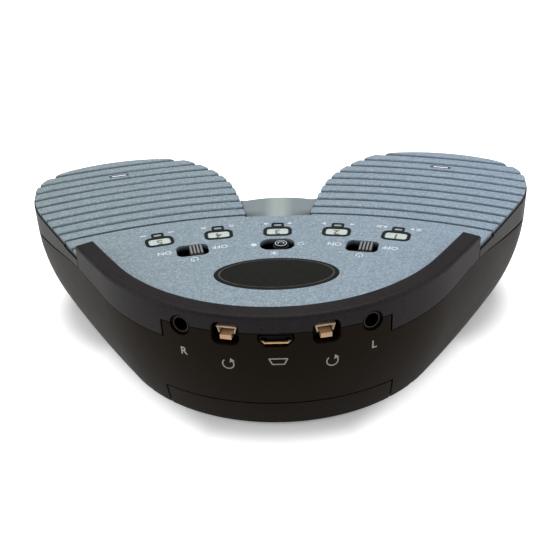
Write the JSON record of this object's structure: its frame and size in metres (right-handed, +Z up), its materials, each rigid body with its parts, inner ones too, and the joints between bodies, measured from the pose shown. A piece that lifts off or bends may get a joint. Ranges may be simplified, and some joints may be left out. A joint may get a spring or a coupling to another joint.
{
  "type": "page turner pedal",
  "caption": "V-shaped floor pedal with ribbed treads on a hinge, a curved console with numbered windows, slide switches and ports in its rounded rear wall",
  "frame": {"origin": "on the floor under the centre of the bounding box", "axes": "+Z up, +Y towards the rear wall with the ports, +X towards the user's right-hand pedal"},
  "size_m": [0.152, 0.1042, 0.0379],
  "materials": {
    "case": "dark warm moulded plastic, fine grain",
    "rim": "dark charcoal moulded plastic, fine grain",
    "frame": "dark moulded plastic, satin",
    "deck": "light metallic blue-grey paint",
    "badge": "plain black badge",
    "lens": "frosted translucent plastic",
    "bezel": "black window frame",
    "window": "off-white window",
    "status_lens": "clear light pipe",
    "knob": "silver-grey ribbed knob",
    "steel": "bright steel",
    "rubber": "black rubber",
    "board": "green solder mask",
    "chip": "black chip package",
    "shield": "tinned shield",
    "usb_shell": "plated socket shell",
    "jack": "black jack body",
    "bracket": "cream switch body",
    "button": "tan plunger",
    "lamp": "white lamp package",
    "cell": "plain wrapped cell",
    "contact": "nickel-plated contact"
  },
  "bodies": {
    "case": {"lower_case": "case", "upper_case": "rim", "console_plate": "deck", "badge_plate": "badge", "light_lens": "lens", "light_lamp": "lamp", "hinge_rod": "steel", "main_board": "board", "controller_chip": "chip", "radio_module": "shield", "usb_socket": "usb_shell", "window_bezels": "bezel", "status_leds": "lamp", "battery_rear": "cell", "battery_front": "cell", "battery_contacts": "contact", "case_screws": "steel", "board_screws": "steel", "mode_reset_switch": "bracket", "pairing_reset_switch": "bracket", "repeat_switch": "shield", "light_switch": "shield", "power_switch": "shield", "right_return_spring": "steel", "right_switch_board": "board", "right_pedal_switch": "chip", "right_stop_pad": "rubber", "right_jack": "jack", "rear_right_foot": "rubber", "front_right_foot": "rubber", "left_return_spring": "steel", "left_switch_board": "board", "left_pedal_switch": "chip", "left_stop_pad": "rubber", "left_jack": "jack", "rear_left_foot": "rubber", "front_left_foot": "rubber", "mode_window_1": "window", "status_lens_1": "status_lens", "mode_window_2": "window", "status_lens_2": "status_lens", "mode_window_3": "window", "status_lens_3": "status_lens", "mode_window_4": "window", "status_lens_4": "status_lens", "mode_window_5": "window", "status_lens_5": "status_lens"},
    "right_pedal": {"right_pedal_frame": "frame", "right_tread": "deck"},
    "left_pedal": {"left_pedal_frame": "frame", "left_tread": "deck"},
    "right_plunger": {"right_switch_plunger": "bracket"},
    "left_plunger": {"left_switch_plunger": "bracket"},
    "repeat_slider": {"repeat_knob": "knob"},
    "light_slider": {"light_knob": "knob"},
    "power_slider": {"power_knob": "knob"},
    "mode_button": {"mode_reset_button": "button"},
    "pairing_button": {"pairing_reset_button": "button"},
    "door": {"battery_door": "case"}
  },
  "joints": [
    {"name": "right_pedal_hinge", "type": "hinge", "parent": "case", "child": "right_pedal", "pos_m": [0.03, 0.00885, 0.0234], "axis": [1, 0, 0], "range_deg": [0, 1], "stiffness_Nm_per_rad": 1.9, "springref_deg": -5.73, "deforming": ["right_return_spring"]},
    {"name": "right_plunger_travel", "type": "slide", "parent": "case", "child": "right_plunger", "axis": [0, 0, -1], "range_m": [0, 0.0009]},
    {"name": "left_pedal_hinge", "type": "hinge", "parent": "case", "child": "left_pedal", "pos_m": [-0.03, 0.00885, 0.0234], "axis": [1, 0, 0], "range_deg": [0, 1], "stiffness_Nm_per_rad": 1.9, "springref_deg": -5.73, "deforming": ["left_return_spring"]},
    {"name": "left_plunger_travel", "type": "slide", "parent": "case", "child": "left_plunger", "axis": [0, 0, -1], "range_m": [0, 0.0009]},
    {"name": "repeat_slide", "type": "slide", "parent": "case", "child": "repeat_slider", "axis": [0.9778, 0.2096, 0], "range_m": [0, 0.002]},
    {"name": "light_slide", "type": "slide", "parent": "case", "child": "light_slider", "axis": [1, 0, 0], "range_m": [0, 0.002]},
    {"name": "power_slide", "type": "slide", "parent": "case", "child": "power_slider", "axis": [0.9778, -0.2096, 0], "range_m": [0, 0.002]},
    {"name": "mode_press", "type": "slide", "parent": "case", "child": "mode_button", "axis": [-0.2187, -0.9758, 0], "range_m": [0, 0.0004], "stiffness_N_per_m": 800, "springref_m": -0.001},
    {"name": "pairing_press", "type": "slide", "parent": "case", "child": "pairing_button", "axis": [0.2187, -0.9758, 0], "range_m": [0, 0.0004], "stiffness_N_per_m": 800, "springref_m": -0.001},
    {"name": "door_slide", "type": "slide", "parent": "case", "child": "door", "axis": [0, 1, 0], "range_m": [0, 0.012]}
  ],
  "couplings": [
    {"joint": "right_plunger_travel", "follows": "right_pedal_hinge", "m_per_rad": 0.046},
    {"joint": "left_plunger_travel", "follows": "left_pedal_hinge", "m_per_rad": 0.046}
  ]
}
